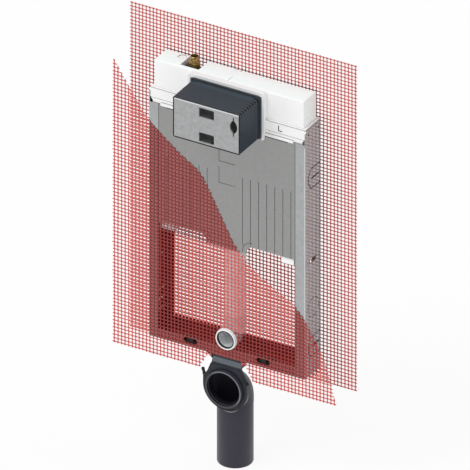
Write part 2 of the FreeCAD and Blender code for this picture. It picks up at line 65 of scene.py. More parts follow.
# Points are written in mm from the middle of the frame's front plane, level with the pan bolts:
# x to the right, y back to the wall, z up
mm = 0.001
panelLow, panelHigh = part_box("front_panel")
origin = np.array([(panelLow.x + panelHigh.x) / 2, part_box("bottom_rail")[0].y, 0.0])
frameSize = {
    "half": 220.0,  # to a side plate's outer face
    "depth": 80.0,
    "top": 640.0,
    "opening": 192.9,  # half, between the front flanges
    "railTop": 14.0,
    "panelFoot": panelLow.z / mm,
}
print("frame loaded with", len(nodes), "nodes")

camera = {
    "azimuth": 30.07,
    "elevation": 29.77,
    "width": 1.1468,  # of the view, in metres: the lines of sight are parallel
    "distance": 12.0,
    "right": 0.0199,  # the aim, from the origin of the shapes
    "up": 0.28324,
}


def link(piece):
    bpy.context.scene.collection.objects.link(piece)


def placeCamera():
    turn = math.radians(camera["azimuth"])
    rise = math.radians(camera["elevation"])
    right = Vector((math.cos(turn), math.sin(turn), 0))
    back = Vector((math.sin(turn) * math.cos(rise), -math.cos(turn) * math.cos(rise), math.sin(rise)))
    up = back.cross(right)
    eye = bpy.data.cameras.new("eye")
    eye.type = "ORTHO"
    eye.ortho_scale = camera["width"]
    eye.clip_end = 60.0
    aim = Vector(origin) + right * camera["right"] + up * camera["up"]
    holder = bpy.data.objects.new("eye", eye)
    turned = Matrix((right, up, back)).transposed().to_4x4()
    holder.matrix_world = Matrix.Translation(aim + back * camera["distance"]) @ turned
    link(holder)
    bpy.context.scene.camera = holder


placeCamera()


def tone(red, green, blue):
    # A screen colour, 0 to 255, as the linear one that a socket takes
    value = np.array([red, green, blue]) / 255
    linear = np.where(value > 0.04045, ((value + 0.055) / 1.055) ** 2.4, value / 12.92)
    return (*linear.tolist(), 1.0)


class Wire:
    # A socket that takes Python's operators: each adds one Math node
    def __init__(self, owner, socket):
        self.owner = owner
        self.socket = socket

    def math(self, operation, other=0.0, swapped=False):
        pair = (other, self) if swapped else (self, other)
        return self.owner.node("ShaderNodeMath", {"operation": operation}, dict(enumerate(pair)))

    def __add__(self, other):
        return self.math("ADD", other)

    def __sub__(self, other):
        return self.math("SUBTRACT", other)

    def __rsub__(self, other):
        return self.math("SUBTRACT", other, True)

    def __mul__(self, other):
        return self.math("MULTIPLY", other)

    __radd__ = __add__
    __rmul__ = __mul__

    def __truediv__(self, other):
        return self.math("DIVIDE", other)

    def __abs__(self):
        return self.math("ABSOLUTE")

    def over(self, other):
        return self.math("MAXIMUM", other)

    def rise(self, low, high):
        # 0 below low, 1 above high, smooth between them
        inputs = {"Value": self, "From Min": low, "From Max": high}
        return self.owner.node("ShaderNodeMapRange", {"interpolation_type": "SMOOTHSTEP"}, inputs)

    def below(self, limit, soft):
        # 0 from the limit up, 1 further down than the soft edge
        return (limit - self).rise(0.0, soft)

    def between(self, low, high, soft):
        return self.rise(low, low + soft) * self.below(high, soft)

    def band(self, middle, half, soft):
        # 1 within half of the middle, 0 further off than that and the soft edge
        return 1 - abs(self - middle).rise(half, half + soft)


def distance(first, second):
    # The root of the sum of both squares
    return (first * first + second * second).math("POWER", 0.5)


class Tree:
    def __init__(self, tree):
        self.tree = tree

    def node(self, kind, settings=None, inputs=None, output=0):
        made = self.tree.nodes.new(kind)
        for key, value in (settings or {}).items():
            setattr(made, key, value)
        for key, value in (inputs or {}).items():
            if isinstance(value, Wire):
                self.tree.links.new(value.socket, made.inputs[key])
            else:
                made.inputs[key].default_value = value
        return Wire(self, made.outputs[output])

    def blend(self, factor, first, second, way="MIX"):
        settings = {"data_type": "RGBA", "blend_type": way, "clamp_factor": True}
        return self.node("ShaderNodeMix", settings, {0: factor, 6: first, 7: second}, 2)

    def show(self, shader, output, first):
        # The shader takes the place of the first one of a new tree
        self.tree.nodes.remove(self.tree.nodes[first])
        self.tree.links.new(shader.socket, self.tree.nodes[output].inputs[0])

    def seenRays(self):
        # 1 for rays from the camera, off a gloss or through glass, where the backdrop shows white
        path = self.node("ShaderNodeLightPath", output="Is Camera Ray").socket.node
        camera, gloss, through = (Wire(self, path.outputs[name]) for name in
                                  ("Is Camera Ray", "Is Glossy Ray", "Is Transmission Ray"))
        return camera.over(gloss).over(through)


finishes = {}


class Finish(Tree):
    # One material, kept by its name. Its pattern reads places in mm, from the same origin as the shapes
    def __init__(self, name, constants):
        self.material = bpy.data.materials.new(name)
        self.material.use_nodes = True
        super().__init__(self.material.node_tree)
        self.shader = self.tree.nodes["Principled BSDF"]
        local = self.node("ShaderNodeTexCoord", output="Object")
        moved = self.node("ShaderNodeVectorMath", {"operation": "SUBTRACT"}, {0: local, 1: tuple(origin)})
        self.place = self.node("ShaderNodeVectorMath", {"operation": "SCALE"}, {0: moved, "Scale": 1 / mm})
        self.set(constants)
        finishes[name] = self

    def set(self, sockets):
        for key, value in sockets.items():
            if isinstance(value, Wire):
                self.tree.links.new(value.socket, self.shader.inputs[key])
            else:
                self.shader.inputs[key].default_value = value

    def axes(self):
        split = self.node("ShaderNodeSeparateXYZ", inputs={0: self.place}).socket.node
        return [Wire(self, socket) for socket in split.outputs]

    def stretched(self, scale):
        return self.node("ShaderNodeVectorMath", {"operation": "MULTIPLY"}, {0: self.place, 1: scale})

    def noise(self, size, detail=2.0, place=None):
        inputs = {"Vector": place or self.place, "Scale": 1 / size, "Detail": detail}
        return self.node("ShaderNodeTexNoise", inputs=inputs)

    def cloud(self):
        return self.noise(14.0, 3.0) * 0.6 + self.noise(1.2) * 0.4

    def cells(self, size, output="Distance"):
        inputs = {"Vector": self.place, "Scale": 1 / size}
        return self.node("ShaderNodeTexVoronoi", inputs=inputs, output=output)

    def spangle(self, size):
        return self.node("ShaderNodeSeparateColor", inputs={0: self.cells(size, "Color")})

    def bump(self, height, distance, strength=1.0):
        inputs = {"Height": height, "Distance": distance * mm, "Strength": strength}
        self.set({"Normal": self.node("ShaderNodeBump", inputs=inputs)})

    def skin(self, colour, roughness, grain, depth):
        # Moulded: the gloss varies a little either way and the grain is fine
        self.set({"Base Color": colour, "Roughness": self.noise(5.0) * 0.12 + (roughness - 0.06)})
        self.bump(self.noise(grain), depth)


def plastic(name, light, dark, roughness, grain=0.5, depth=0.02, specular=0.5):
    finish = Finish(name, {"Specular IOR Level": specular})
    finish.skin(finish.blend(finish.cloud(), dark, light), roughness, grain, depth)


plastic("white_plastic", tone(243, 244, 244), tone(232, 234, 235), 0.32)
plastic("black_plastic", tone(30, 31, 36), tone(22, 23, 27), 0.36, 0.8, 0.03, 0.3)
plastic("rubber", tone(30, 32, 32), tone(18, 19, 19), 0.7)


def gridFaces(rows, columns, wrapRows=False, wrapColumns=False):
    # Quad (r, c) joins points (r, c), (r, c+1), (r+1, c+1), (r+1, c)
    row = np.arange(rows if wrapRows else rows - 1)[:, None]
    column = np.arange(columns if wrapColumns else columns - 1)[None, :]
    here, after = row * columns, (row + 1) % rows * columns
    beside = (column + 1) % columns
    corners = (here + column, here + beside, after + beside, after + column)
    return np.stack(np.broadcast_arrays(*corners), -1).reshape(-1, 4)


def outward(points, faces):
    # Volume under the faces as a fan from the origin: if it is negative, every face is turned over
    a, b, c, d = (points[faces[:, k]] for k in range(4))
    volume = np.einsum("ij,ij->i", a, np.cross(b, c) + np.cross(c, d)).sum()
    return points, faces if volume > 0 else faces[:, ::-1]


def settle(piece, finish, replaced):
    link(piece)
    piece.data.materials.clear()
    piece.data.materials.append(finishes[finish].material)
    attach(piece, "root")
    if replaced:
        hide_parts(*replaced)


def addPiece(name, parts, finish, replaced=(), sharp=35.0, merge=True):
    # One mesh of all the parts, each part's faces counted on from the points before it
    turned = [outward(*part) for part in parts]
    starts = np.cumsum([0] + [len(points) for points, faces in turned[:-1]])
    points = np.concatenate([points for points, faces in turned])
    faces = np.concatenate([part[1] + start for part, start in zip(turned, starts)])
    mesh = bpy.data.meshes.new(name)
    mesh.from_pydata((origin + points * mm).tolist(), [], faces.tolist())
    if merge:
        shape = bmesh.new()
        shape.from_mesh(mesh)
        bmesh.ops.remove_doubles(shape, verts=shape.verts, dist=0.01 * mm)
        shape.to_mesh(mesh)
        shape.free()
    mesh.shade_smooth()
    mesh.set_sharp_from_angle(angle=math.radians(sharp))
    settle(bpy.data.objects.new(name, mesh), finish, replaced)


def softened(node, width, finish=None):
    # A CAD node's own shape with its loose facets merged and its edges rounded
    crease = math.radians(30)
    shape = bmesh.new()
    shape.from_mesh(nodes[node].data)
    bmesh.ops.remove_doubles(shape, verts=shape.verts, dist=0.01 * mm)
    bmesh.ops.dissolve_limit(shape, angle_limit=math.radians(0.5), verts=shape.verts, edges=shape.edges)
    mesh = bpy.data.meshes.new("soft_" + node)
    shape.to_mesh(mesh)
    shape.free()
    if "custom_normal" in mesh.attributes:
        mesh.attributes.remove(mesh.attributes["custom_normal"])
    mesh.shade_smooth()
    mesh.set_sharp_from_angle(angle=crease)
    piece = bpy.data.objects.new("soft_" + node, mesh)
    edges = piece.modifiers.new("edges", "BEVEL")
    edges.width = width * mm
    edges.segments = 3
    edges.limit_method = "ANGLE"
    edges.angle_limit = crease
    edges.harden_normals = True
    settle(piece, finish or slotOf[node], [node])


def lathe(profile, centre, axis, steps=64, closed=True):
    # Profile point (r, h) turned through u: centre + h axis + r (cos u side + sin u across)
    r, h = np.asarray(profile, float).T
    axis = np.asarray(axis, float) / np.linalg.norm(axis)
    side = np.cross(axis, (0, 0, 1) if abs(axis[2]) < 0.9 else (1, 0, 0))
    side /= np.linalg.norm(side)
    u = np.arange(steps) * 2 * math.pi / steps
    ring = np.cos(u)[:, None] * side + np.sin(u)[:, None] * np.cross(axis, side)
    points = np.asarray(centre, float) + h[:, None, None] * axis + r[:, None, None] * ring
    return points.reshape(-1, 3), gridFaces(len(r), steps, closed, True)


def roundedLoop(corners, cut, steps=4):
    # Each corner p gives way to the curve (1-s)^2 a + 2 s (1-s) p + s^2 b,
    # from a to b, which lie the cut away along its edges
    p = np.asarray(corners, float)
    before, after = np.roll(p, 1, 0) - p, np.roll(p, -1, 0) - p
    a = p + before * cut / np.linalg.norm(before, axis=1, keepdims=True)
    b = p + after * cut / np.linalg.norm(after, axis=1, keepdims=True)
    s = np.linspace(0, 1, steps + 1)[None, :, None]
    loop = (1 - s) ** 2 * a[:, None] + 2 * s * (1 - s) * p[:, None] + s ** 2 * b[:, None]
    return loop.reshape(-1, p.shape[1])


def bentTube(stations, front, axisZ, pipeY, turnRadius, up, steps=72):
    # Station (s, r): a ring of radius r square to a line that runs level, turns a quarter and runs upright
    s, r = np.asarray(stations, float).T
    level = pipeY - turnRadius - front
    angle = np.clip((s - level) / turnRadius, 0, math.pi / 2)
    y = front + np.minimum(s, level) + turnRadius * np.sin(angle)
    past = np.maximum(s - level - turnRadius * math.pi / 2, 0)
    z = axisZ + up * (turnRadius * (1 - np.cos(angle)) + past)
    centre = np.stack([0 * y, y, z], -1)
    normal = np.stack([0 * y, -up * np.sin(angle), np.cos(angle)], -1)
    u = np.arange(steps) * 2 * math.pi / steps
    points = (centre[:, None] + (r[:, None] * np.cos(u))[..., None] * np.array([1.0, 0, 0])
              + (r[:, None] * np.sin(u))[..., None] * normal[:, None])
    return points.reshape(-1, 3), gridFaces(len(s), steps, True, True)


def roundRect(halfWidth, low, high, corner, steps=5, middle=0.0):
    # Four corner centres, and the directions of a quarter turn round each
    turn = np.arange(4)[:, None] * math.pi / 2 + np.linspace(0, math.pi / 2, steps)
    sign = np.array([(1, 1), (-1, 1), (-1, -1), (1, -1)])
    x = middle + sign[:, 0] * (halfWidth - corner)
    z = np.where(sign[:, 1] > 0, high - corner, low + corner)
    centre = np.repeat(np.stack([x, z], -1), steps, 0)
    direction = np.stack([np.cos(turn), np.sin(turn)], -1).reshape(-1, 2)
    return centre, direction, corner


def atDepths(flat, y):
    # Row k of the flat outlines (x, z), set upright at the depth y[k]
    deep = np.broadcast_to(y[:, None], flat.shape[:2])
    return np.stack([flat[..., 0], deep, flat[..., 1]], -1).reshape(-1, 3)


def sweepRect(rect, stations):
    # Station (y, grow, notch): the corner radius grows by grow and loses notch sin(2u), u along its turn
    centre, direction, corner = rect
    y, grow, notch = np.asarray(stations, float).T
    bite = 2 * np.abs(direction[:, 0] * direction[:, 1])
    radius = corner + grow[:, None] - notch[:, None] * bite
    flat = centre + radius[..., None] * direction
    return atDepths(flat, y), gridFaces(len(y), len(direction), True, True)


def cup(outline, stations):
    # Station (y, scale): the outline drawn in towards its middle by the scale
    outline = np.asarray(outline, float)
    y, scale = np.asarray(stations, float).T
    middle = (outline.min(0) + outline.max(0)) / 2
    flat = middle + scale[:, None, None] * (outline - middle)
    return atDepths(flat, y), gridFaces(len(y), len(outline), False, True)


# The front mesh's outline is here too: its shade and red light are painted into the steel under it
frontCut = {
    "curve": np.array([(-320, 736), (-279, 672), (-217, 586), (-134, 519), (-76, 480), (-43, 426), (8, 328),
                       (30, 295), (87, 243), (188, 182), (244, 112), (282, 32), (309, -65)], float),
    "bottom": -65.0,
    "ringZ": 35.0, "ringRadius": 30.5,  # round the flush ring
    "slotX": 102.5, "slotHalf": 21.0, "slotUp": 9.0,  # round the bolt slots
    "notchTop": -17.4, "notchLeft": -51.0, "notchRight": 49.0,  # round the drain, wider further down
    "notchLow": -65.0, "notchSpread": 26.0,
    "cheekInner": 42.0, "cheekOuter": 56.0, "cheekSlope": 0.9,  # under the holder's cheeks
}
# How the painted shade and red light of the yarn tint the sheet under the mesh
yarnShadeAndLight = {"panel": (1.31, 0.51, 0.465, 1.0), "side": (0.95, 0.34, 0.30, 1.0), "deep": 1.7}


def paintedYarnShade(finish, colour, light):
    # Painted shade and red light from the yarn on the sheet behind it, below the cut.
    # The cut's height at x is the sum of its straight steps
    x, y, z = finish.axes()
    curve = frontCut["curve"].tolist()
    height = curve[0][1]
    for (x0, z0), (x1, z1) in zip(curve[:-1], curve[1:]):
        inputs = {"Value": x, "From Min": x0, "From Max": x1, "To Min": 0.0, "To Max": z1 - z0}
        height = finish.node("ShaderNodeMapRange", inputs=inputs) + height
    factor = (height - z).rise(-1.0, 3.0) * y.below(yarnShadeAndLight["deep"], 0.2)
    return finish.blend(factor, colour, light, "MULTIPLY")


steel = {
    "side": tone(177, 179, 180),
    "sideDull": tone(162, 164, 166),
    "bend": tone(214, 216, 218),  # painted highlight on the bends and along the rail's foot
    # the rail's tone has the yarn's red light and shade painted into it
    "rail": tone(156, 123, 118),
    "panel": tone(160, 160, 159),
    "panelDull": tone(146, 146, 146),
    "inside": tone(168, 62, 54),  # painted red light from the yarn, inside the left channel and the rail
    # painted, weaker red light from the yarn inside the right channel
    "insideRight": tone(118, 96, 94),
    "paintedSlitLight": tone(250, 208, 202),  # painted light through the anchors' slits, on the plates' inner faces
    # painted shade in what is pressed in and round the anchors, and the side's dark joint line
    "groove": tone(84, 84, 84),
    # painted shadow under the white lips
    "underLip": tone(52, 52, 54),
    # painted shade in the slits' open ends and the lower anchor's slot
    "slitEnd": tone(24, 24, 25),
    "spangle": 9.0,
    "sideRoughness": 0.25,
    "panelRoughness": 0.34,
    "metal": 0.88,
    "jointZ": 677.2,
    "railFoot": -17.0,
    "pressed": 1.05,  # depth of the panel's grooves and squares
    "lipZ": 635.4,
    "lipXs": (107.0, 172.0),
}
anchor = {
    "zs": (532.5, 60.0),
    "reach": 28.0,  # from its middle to the slits over and under it
    "slits": (29.0, 73.0),  # from and to, along y
    "slot": (30.5, 71.0),
    "lowSlot": (38.0, 71.0),
    "lowSlotZ": 61.0,
    "noseY": 17.3,
    "noseHalf": 9.5,
    "slopeY": 17.0,
    "slope": (0.575, 0.818),  # across the slanting edge: up, and forward
    "endY": 71.0,
    "endOff": 26.8,
    "insideFrom": 44.0,
}


def anchorLines(y, off):
    # Painted shade in soft lines round an anchor's slits and pressed edges: off is the height from its
    # middle
    a = anchor
    edge = off.band(a["reach"], 1.3, 0.9) * y.between(*a["slits"], 1.0)
    middle = off.band(0.0, 2.4, 0.6) * y.between(*a["slot"], 1.0)
    nose = y.band(a["noseY"], 1.0, 0.9) * (a["noseHalf"] - off).rise(-0.6, 0.6)
    up, forward = a["slope"]
    aside = (off - a["noseHalf"]) * up - (y - a["slopeY"]) * forward
    slope = aside.band(0.0, 1.0, 0.9) * off.between(a["noseHalf"] - 0.5, a["reach"] + 0.5, 1.0)
    return edge.over(middle).over(nose).over(slope)


def slitEnds(y, off):
    # Painted shade in the slits where they open at the plate's rear edge
    return y.band(anchor["endY"], 1.8, 0.6) * off.band(anchor["endOff"], 2.2, 0.8)


def sideSteel():
    finish = Finish("galvanised_side", {})
    f = frameSize
    x, y, z = finish.axes()
    far = abs(x)
    upper, lower = (abs(z - middle) for middle in anchor["zs"])
    outside = far.rise(f["half"] - 0.7, f["half"] - 0.4)
    inward = far.below(f["half"] - 0.8, 0.6) * y.between(1.2, f["depth"] - 1.4, 0.6)
    inward = inward * z.below(f["top"] + 0.5, 1.0)
    opening = (f["opening"] - far).rise(-0.3, 0.3)
    # The rail takes a tone with the yarn's red light and shade painted in
    rail = opening * z.below(f["railTop"], 1.0)
    # Painted highlight along the side plates' front bends and the rail's foot
    bend = far.rise(f["half"] - 2.6, f["half"] - 1.8) * y.below(3.0, 1.0) * z.below(f["top"] - 8.0, 1.0)
    bright = bend.over(opening * z.below(steel["railFoot"], 0.6)) * 0.7
    grain = finish.spangle(steel["spangle"]) * 0.5 + finish.noise(40.0) * 0.5
    sheet = finish.blend(grain, steel["sideDull"], steel["side"])
    sheet = finish.blend(bright, finish.blend(rail, sheet, steel["rail"]), steel["bend"])
    # A dark joint line, and painted shade round the anchors, in their slits' ends and in the lower slot
    lines = z.band(steel["jointZ"], 0.8, 0.6).over(anchorLines(y, upper)).over(anchorLines(y, lower))
    sheet = finish.blend(outside * lines * 0.8, sheet, steel["groove"])
    lowSlot = z.band(anchor["lowSlotZ"], 3.0, 0.8) * y.between(*anchor["lowSlot"], 1.0)
    ends = slitEnds(y, upper).over(slitEnds(y, lower))
    sheet = finish.blend(outside * ends.over(lowSlot), sheet, steel["slitEnd"])
    # Painted red light from the yarn on the inner faces, strongest on the left
    within = finish.blend(x.rise(150.0, 200.0), steel["inside"], steel["insideRight"])
    # Painted light through the anchors' slits, as pale lines on the plates' inner faces
    edges = lower.band(anchor["reach"], 2.4, 0.8).over(upper.band(anchor["reach"], 2.4, 0.8))
    edges = edges.over(lower.band(0.0, 2.2, 0.8)) * y.rise(anchor["insideFrom"], anchor["insideFrom"] + 4.0)
    edges = edges * far.rise(f["half"] - 2.8, f["half"] - 2.2)
    sheet = finish.blend(inward * edges, finish.blend(inward, sheet, within), steel["paintedSlitLight"])
    roughness = finish.noise(30.0) * 0.06 + (steel["sideRoughness"] - 0.03) + inward * 0.3 - outside * 0.12
    finish.set({"Base Color": paintedYarnShade(finish, sheet, yarnShadeAndLight["side"]),
                "Metallic": steel["metal"] - outside * 0.4, "Roughness": roughness})


def panelSteel():
    # Rolled streaks and fine crystals; painted shade in what is pressed in, and painted shadow under the
    # white lips
    finish = Finish("galvanised_panel", {"Metallic": steel["metal"]})
    x, y, z = finish.axes()
    streak = finish.noise(6.0, 3.0, finish.stretched((1.0, 1.0, 0.08)))
    grain = finish.spangle(4.0) * 0.35 + finish.noise(1.6) * 0.35 + streak * 0.3
    sheet = finish.blend(grain, steel["panelDull"], steel["panel"])
    pressed = y.rise(0.1, 0.3) * y.below(steel["pressed"], 0.12)
    underLip = z.band(steel["lipZ"], 1.1, 0.6) * abs(x).between(*steel["lipXs"], 1.0)
    sheet = finish.blend(underLip, finish.blend(pressed, sheet, steel["groove"]), steel["underLip"])
    finish.set({"Base Color": paintedYarnShade(finish, sheet, yarnShadeAndLight["panel"]),
                "Roughness": finish.noise(3.0) * 0.14 + (steel["panelRoughness"] - 0.07)})
    finish.bump(finish.noise(1.4), 0.03)


sideSteel()
panelSteel()
plastic("dark_steel", tone(22, 22, 25), tone(10, 10, 12), 0.5, specular=0.3)
for node in ("left_side_channel", "right_side_channel", "bottom_rail", "front_panel"):
    for place in nodes[node].material_slots:
        place.material = finishes[slotOf[node]].material
for side in ("left", "right"):
    softened(side + "_bolt_carrier", 0.8)

screw = {"ys": (17.0, 65.0), "z": 662.0, "root": 217.4, "face": 219.7, "radius": 3.7, "dish": 1.5,
         "deep": 1.0}


def screwZinc():
    # A dark ring round a bright middle
    finish = Finish("screw_zinc", {"Metallic": 0.6, "Roughness": 0.3})
    x, y, z = finish.axes()
    first, last = screw["ys"]
    aside = abs(y - (first + last) / 2) - (last - first) / 2
    ring = distance(aside, z - screw["z"]).rise(1.2, 1.6)
    finish.set({"Base Color": finish.blend(ring, tone(190, 190, 192), tone(58, 56, 60))})


def screwHeads():
    # A flat head with a dish in it, its profile turned about x
    r, dish, reach = screw["radius"], screw["dish"], screw["face"] - screw["root"]
    floor = reach - screw["deep"]
    profile = [(0, 0), (r, 0), (r, reach - 0.6), (r - 0.7, reach), (dish, reach), (dish - 0.3, floor),
               (0, floor)]
    return [lathe(profile, (side * screw["root"], y, screw["z"]), (side, 0, 0), 24, False)
            for side in (-1, 1) for y in screw["ys"]]


screwZinc()
addPiece("insulation_screw_heads", screwHeads(), "screw_zinc", ["insulation_screws"])
print("steel frame dressed")

band = {
    "inner": 108.2,  # x beside the service opening
    "front": 5.2,
    "cutY": 3.6,  # of the cut lines up the band's front
    "cutZs": (641.0, 679.0),
    "jointZ": 680.0,
    # where shade is painted over the lips
    "lipZ": 644.0, "lipEnd": 188.0,
    "cornerX": 144.0, "cornerZ": 659.0,
    # for the joint, and for the painted shade over the lips
    "line": tone(128, 129, 130),
    # painted shade in the cuts and along the cut corner
    "cut": tone(70, 71, 72),
}
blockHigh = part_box("upper_insulation")[1]
block = {
    "side": (blockHigh.x - origin[0]) / mm,
    "top": blockHigh.z / mm,
    "jointZ": 680.0,  # of the two foam halves
    "seamX": -2.6, "seamEnd": 34.0,
    "tickXs": (-10.0, 2.0), "tickY": 63.5,
    # the ring of painted shade round a shallow dip
    "sunkAt": (-157.0, 55.0), "sunkRadius": 11.5,
    "pocketX": -117.0, "pocketHalf": 25.9, "pocketY": 19.8, "pocketFloor": 744.0,
    # for the joint, seam and ticks, and the painted shade ring of the dip
    "line": tone(120, 122, 120),
    # painted cooler light on the top and the right side
    "cool": tone(242, 252, 251),
    # painted shade on the pocket's walls and floor
    "wall": (tone(188, 192, 188), tone(242, 244, 240)),
    "floor": tone(82, 62, 44),
}


def beadFoam(name, marks):
    finish = Finish(name, {"Roughness": 0.62, "Specular IOR Level": 0.35})
    beads = finish.cells(4.6)
    white = finish.blend(finish.noise(26.0) * 0.6 + beads * 0.4, tone(242, 243, 244), tone(250, 250, 248))
    finish.set({"Base Color": marks(finish, white)})
    finish.bump(beads * 0.7 + finish.noise(0.9) * 0.3, 0.10, 0.5)


def bandMarks(finish, white):
    # Painted shade in the band's cut lines, over the lips and along a cut corner, and a dark line in the
    # joint over the band
    b = band
    x, y, z = finish.axes()
    far = abs(x)
    beside = far.rise(b["inner"], b["inner"] + 0.6) * y.below(b["front"], 0.4)
    low, high = b["cutZs"]
    cuts = y.band(b["cutY"], 0.3, 0.1) * z.rise(low, low + 1.0) * z.below(high, 0.5) * 0.8
    joint = z.band(b["jointZ"], 1.4, 0.8) * 0.6
    lip = z.band(b["lipZ"], 0.8, 0.6) * far.below(b["lipEnd"], 1.0) * 0.8
    upright = x.band(b["cornerX"], 1.1, 0.6) * z.band(b["cornerZ"] + 7.0, 7.4, 0.5)
    level = z.band(b["cornerZ"], 1.1, 0.6) * x.band(b["cornerX"] + 5.0, 4.6, 0.6)
    marked = finish.blend(joint.over(lip) * beside, white, b["line"])
    return finish.blend(cuts.over(upright.over(level) * beside), marked, b["cut"])


def topMarks(finish, white):
    # The foam halves' joint shows at the front and rear edge, and a shallow dip has a painted ring of
    # shade.
    # The pocket has painted shade inside, darker at its floor.
    # The top and the right side are painted cooler, as light against the mesh's red light
    b = block
    x, y, z = finish.axes()
    top = z.rise(b["top"] - 4.0, b["top"] - 2.0)
    far = distance(x - b["sunkAt"][0], y - b["sunkAt"][1])
    sunk = far.band(b["sunkRadius"], 0.4, 0.3) * z.below(b["top"] - 0.3, 0.3)
    seam = x.band(b["seamX"], 0.35, 0.5) * y.below(b["seamEnd"], 1.5)
    first, second = (x.band(tick, 1.3, 0.6) for tick in b["tickXs"])
    ticks = first.over(second) * y.rise(b["tickY"], b["tickY"] + 1.0)
    lines = (seam.over(ticks).over(sunk) * top * 0.85).over(z.band(b["jointZ"], 0.6, 0.5) * 0.6)
    # Painted shade inside the pocket, darker toward its floor
    pocket = x.band(b["pocketX"], b["pocketHalf"], 0.3) * y.rise(b["pocketY"], b["pocketY"] + 0.3)
    pocket = pocket * z.below(b["top"] - 1.5, 3.0)
    wall = finish.blend(finish.noise(5.0, 3.0).rise(0.35, 0.65), *b["wall"])
    wall = finish.blend(z.below(b["pocketFloor"], 5.0), wall, b["floor"])
    # Painted light: the top and the right side cooler
    bounced = z.rise(b["top"] - 1.0, b["top"] - 0.5).over(x.rise(b["side"] - 1.0, b["side"] - 0.5))
    white = finish.blend(bounced, white, b["cool"])
    return finish.blend(pocket * 0.9, finish.blend(lines, white, b["line"]), wall)


beadFoam("white_foam", bandMarks)
beadFoam("upper_foam", topMarks)
for node, width in (("cistern_body", 1.2), ("left_cistern_foot", 1.5), ("right_cistern_foot", 1.5),
                    ("insulation_band", 0.5), ("left_insulation_lip", 0.7), ("right_insulation_lip", 0.7)):
    softened(node, width)
softened("upper_insulation", 1.2, "upper_foam")
softened("service_collar", 1.4)
print("insulation dressed")

serviceBox = {
    "half": 94.6, "low": 626.0, "high": 740.0, "front": -100.0, "rear": 30.0,
    "wall": 3.0, "corner": 5.0, "ledge": 2.0, "edge": 0.8,
    "lipMiddle": 1.5, "lipHalf": 97.3, "lipLow": 627.8, "lipHigh": 744.6, "lip": 6.5, "lipCorner": 7.0,
    "bead": 2.3, "beadFront": -8.5, "beadRear": -5.4, "lipRoot": -4.8,
    "notchStart": 8.0, "notchPitch": 11.2, "notchDepth": 2.6, "notchWidth": 4.2, "notches": 8,
}
cover = {
    "leftEdge": -90.0, "footEdge": 630.8, "topEdge": 734.0,  # where its painted highlight and shade lie
    "front": -97.2, "left": -20.7, "width": 42.7, "height": 26.0, "lows": (634.0, 703.0), "corner": 3.0,
    "depth": 14.0, "skin": 1.0,
    "eyeX": 77.0, "eyeZ": 700.5, "eyeUp": 19.0, "eyeHalf": 10.5, "slotUp": 26.5, "slotHalf": 1.75,
}


def boxPlastic():
    # Teeth are cut over the long edges and fade into ribs on the sides, with painted shade in them.
    # The rim round the cover is painted dark, as shade
    finish = Finish("box_plastic", {"Specular IOR Level": 0.25})
    b = serviceBox
    x, y, z = finish.axes()
    body = finish.blend(finish.cloud(), tone(33, 45, 55), tone(41, 53, 63))
    # Painted light: paler toward the lip
    body = finish.blend(y.rise(-34.0, -8.0) * y.below(-5.0, 1.0), body, tone(66, 75, 84))
    tooth = ((y - (b["front"] + b["notchStart"])) / b["notchPitch"]).math("PINGPONG", 0.5)
    fromEnd = (b["high"] - b["low"]) / 2 - abs(z - (b["high"] + b["low"]) / 2)
    edge = (b["half"] - abs(x)).rise(15.0, 9.0) * fromEnd.rise(13.0, 8.0)
    rib = abs(x).rise(b["half"] - 0.6, b["half"] - 0.2) * y.rise(-60.0, -20.0) * 0.35
    dark = ((1 - tooth.rise(0.18, 0.28)) * edge.over(rib)).over(y.below(b["front"] + 1.0, 0.4))
    # Painted highlight along the toothed edges
    body = finish.blend(edge * 0.25, body, tone(84, 92, 100))
    finish.skin(finish.blend(dark, body, tone(8, 10, 14)), 0.42, 0.8, 0.03)


def coverPlastic():
    # A painted highlight along its top edge, and painted shade along its left and lower edges
    finish = Finish("cover_plastic", {"Specular IOR Level": 0.3})
    x, y, z = finish.axes()
    mottle = finish.noise(9.0, 4.0) * 0.7 + finish.noise(1.6) * 0.3
    body = finish.blend(mottle.rise(0.3, 0.7), tone(154, 154, 155), tone(170, 171, 172))
    body = finish.blend(z.rise(cover["topEdge"], cover["topEdge"] + 1.0), body, tone(218, 220, 221))
    outline = x.below(cover["leftEdge"], 0.4).over(z.below(cover["footEdge"], 0.4))
    finish.skin(finish.blend(outline, body, tone(30, 32, 36)), 0.50, 0.7, 0.04)


def pocketPlastic():
    # Painted shade: the grips and the eye are darkest along their right side
    finish = Finish("pocket_plastic", {"Specular IOR Level": 0.2, "Roughness": 0.6})
    x, y, z = finish.axes()
    edge = cover["left"] + cover["width"]
    grip = x.rise(edge - 13.0, edge - 8.0) * x.below(edge + 2.0, 1.0)
    dark = grip.over(x.rise(cover["eyeX"] - 1.0, cover["eyeX"] + 2.0))
    grey = finish.blend(finish.noise(4.0), tone(56, 57, 58), tone(76, 78, 79))
    finish.set({"Base Color": finish.blend(dark, grey, tone(24, 25, 26))})


